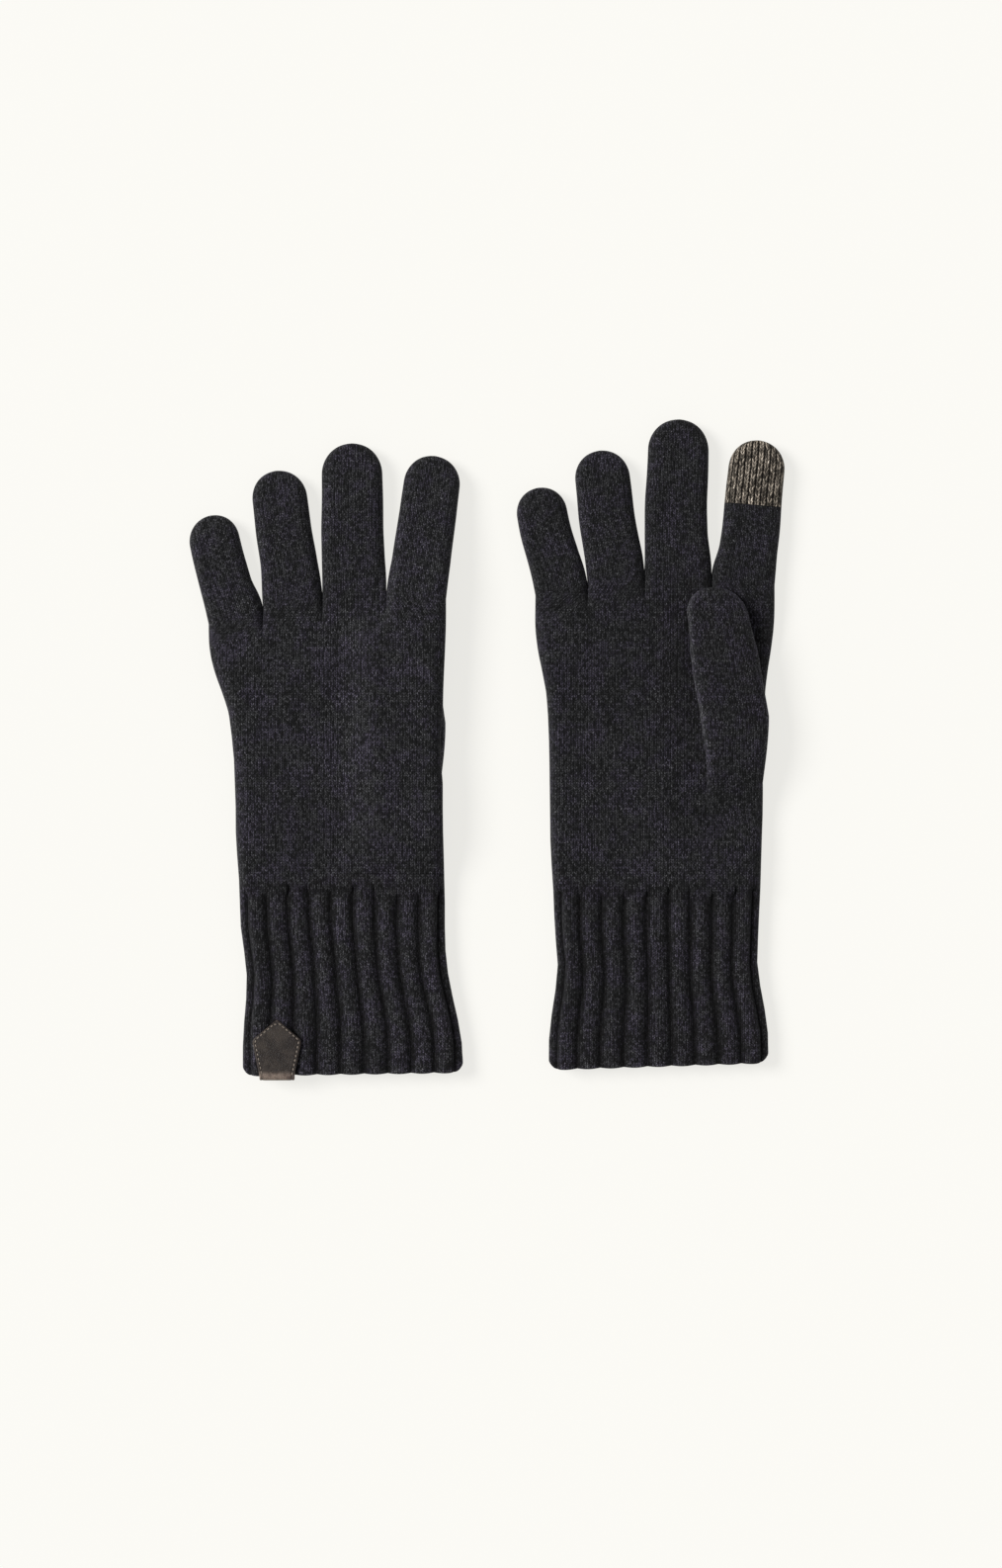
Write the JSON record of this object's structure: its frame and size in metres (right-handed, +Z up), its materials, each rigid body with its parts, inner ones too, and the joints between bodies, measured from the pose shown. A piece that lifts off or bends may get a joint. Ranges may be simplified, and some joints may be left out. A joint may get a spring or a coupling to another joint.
{
  "type": "touchscreen gloves",
  "caption": "Pair of fine-knit touchscreen gloves with long ribbed cuffs, a coarse conductive index tip and a leather tab folded over one hem.",
  "frame": {"origin": "centre of the pair in plan, on the surface it lies on", "axes": "+Y from the cuffs to the finger tips, +Z up off the table, +X from the left glove to the right glove"},
  "size_m": [0.25, 0.2796, 0.0185],
  "materials": {
    "knit": "fine jersey knit, marled charcoal",
    "rib_knit": "fine ribbed knit, marled charcoal",
    "touch_knit": "coarse conductive knit, bronze grey",
    "leather": "dark brown grained leather",
    "thread": "matte sewing thread"
  },
  "bodies": {
    "left_cuff": {"left_cuff": "rib_knit", "left_cuff_hem": "rib_knit", "left_leather_tab": "leather", "left_tab_stitches": "thread"},
    "left_hand": {"left_hand": "knit"},
    "left_little_finger": {"left_little_finger": "knit"},
    "left_ring_finger": {"left_ring_finger": "knit"},
    "left_middle_finger": {"left_middle_finger": "knit"},
    "left_index_finger": {"left_index_finger": "knit", "left_index_touch_tip": "touch_knit"},
    "left_thumb": {"left_thumb": "knit"},
    "right_cuff": {"right_cuff": "rib_knit", "right_cuff_hem": "rib_knit"},
    "right_hand": {"right_hand": "knit"},
    "right_little_finger": {"right_little_finger": "knit"},
    "right_ring_finger": {"right_ring_finger": "knit"},
    "right_middle_finger": {"right_middle_finger": "knit"},
    "right_index_finger": {"right_index_finger": "knit", "right_index_touch_tip": "touch_knit"},
    "right_thumb": {"right_thumb": "knit"}
  },
  "joints": [
    {"name": "right_glove_slide", "type": "slide", "parent": "left_cuff", "child": "right_cuff", "axis": [1, 0, 0], "range_m": [0, 0.06]},
    {"name": "left_wrist", "type": "hinge", "parent": "left_cuff", "child": "left_hand", "pos_m": [-0.06172, -0.05883, 0.00534], "axis": [-1, 0, 0], "range_deg": [-60, 60]},
    {"name": "left_little_fold", "type": "hinge", "parent": "left_hand", "child": "left_little_finger", "pos_m": [-0.10847, 0.06215, 0.00484], "axis": [-0.9744, -0.225, 0], "range_deg": [-30, 90]},
    {"name": "left_ring_fold", "type": "hinge", "parent": "left_hand", "child": "left_ring_finger", "pos_m": [-0.08263, 0.07103, 0.00484], "axis": [-0.9925, -0.1219, 0], "range_deg": [-30, 90]},
    {"name": "left_middle_fold", "type": "hinge", "parent": "left_hand", "child": "left_middle_finger", "pos_m": [-0.05642, 0.07367, 0.00484], "axis": [-1, 0, 0], "range_deg": [-30, 90]},
    {"name": "left_index_fold", "type": "hinge", "parent": "left_hand", "child": "left_index_finger", "pos_m": [-0.029, 0.07158, 0.01364], "axis": [-0.9925, 0.1219, 0], "range_deg": [-30, 78]},
    {"name": "left_thumb_fold", "type": "hinge", "parent": "left_hand", "child": "left_thumb", "pos_m": [-0.01752, 0.01217, 0.00877], "axis": [0, -1, 0], "range_deg": [0, 160]},
    {"name": "right_wrist", "type": "hinge", "parent": "right_cuff", "child": "right_hand", "pos_m": [0.07178, -0.05933, 0.00534], "axis": [1, 0, 0], "range_deg": [-60, 60]},
    {"name": "right_little_fold", "type": "hinge", "parent": "right_hand", "child": "right_little_finger", "pos_m": [0.03034, 0.07387, 0.00484], "axis": [0.9816, 0.1908, 0], "range_deg": [-30, 90]},
    {"name": "right_ring_fold", "type": "hinge", "parent": "right_hand", "child": "right_ring_finger", "pos_m": [0.05405, 0.07953, 0.00484], "axis": [0.9945, 0.1045, 0], "range_deg": [-30, 90]},
    {"name": "right_middle_fold", "type": "hinge", "parent": "right_hand", "child": "right_middle_finger", "pos_m": [0.08024, 0.08383, 0.00484], "axis": [0.999, -0.0436, 0], "range_deg": [-30, 90]},
    {"name": "right_index_fold", "type": "hinge", "parent": "right_hand", "child": "right_index_finger", "pos_m": [0.10988, 0.07718, 0.00484], "axis": [0.9962, -0.0872, 0], "range_deg": [-30, 90]},
    {"name": "right_thumb_fold", "type": "hinge", "parent": "right_hand", "child": "right_thumb", "pos_m": [0.11898, 0.01467, 0.00877], "axis": [0, 1, 0], "range_deg": [0, 160]}
  ]
}
